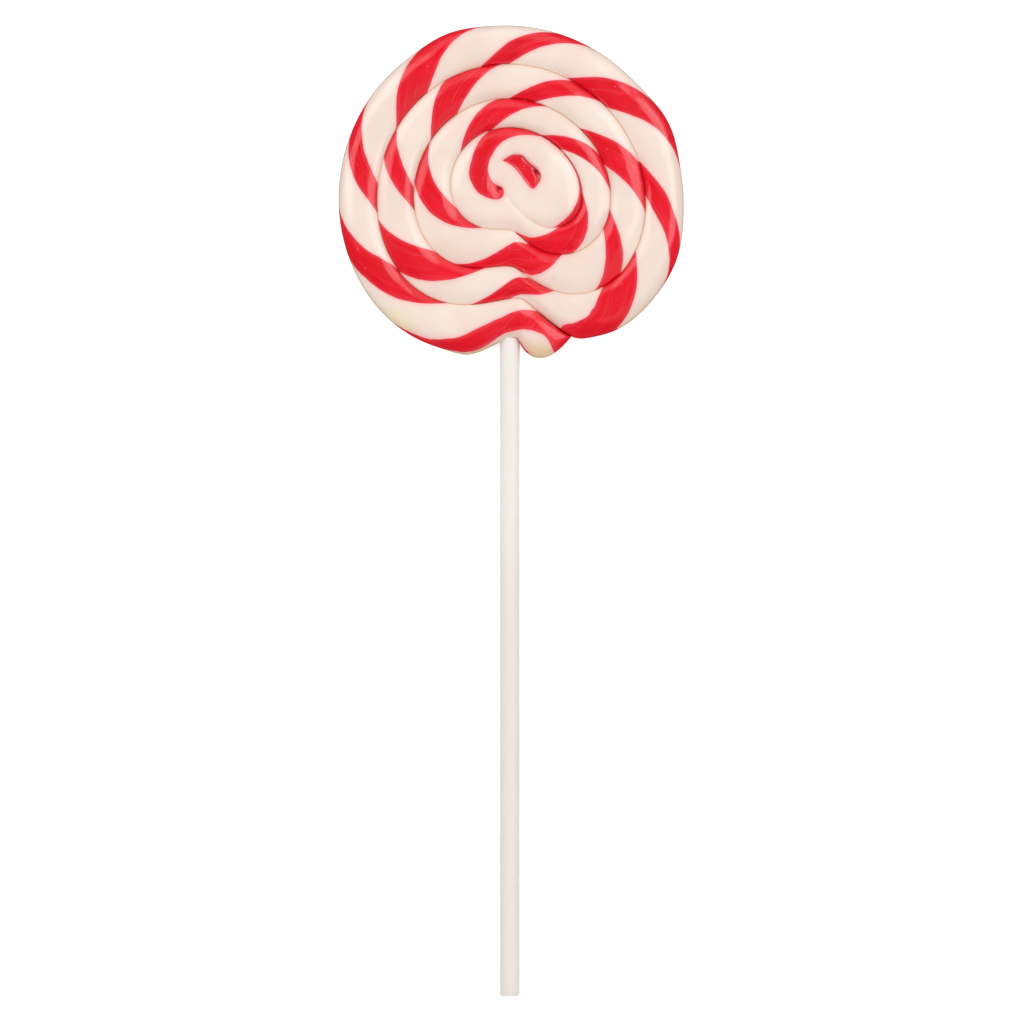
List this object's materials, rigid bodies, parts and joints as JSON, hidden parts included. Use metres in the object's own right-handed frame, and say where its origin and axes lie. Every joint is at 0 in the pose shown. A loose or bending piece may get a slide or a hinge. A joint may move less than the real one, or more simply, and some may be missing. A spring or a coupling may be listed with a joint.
{
  "type": "swirl lollipop",
  "caption": "Flat round sweet on a thin straight stick: a twisted two-colour sugar rope coiled into a spiral disc and pressed, dented where the stick enters.",
  "frame": {"origin": "the swirl's centre, on the surface that the disc lies on", "axes": "+Z out of the shown face, +Y along the stick's axis from its free end towards the disc, +X to the right as the face is seen"},
  "size_m": [0.0767, 0.2156, 0.0085],
  "materials": {
    "sugar": "glossy pulled sugar, ivory white with twisted red stripes",
    "stick": "smooth rolled paper, matt white"
  },
  "bodies": {
    "root": {"candy": "sugar", "stick": "stick"}
  },
  "joints": []
}
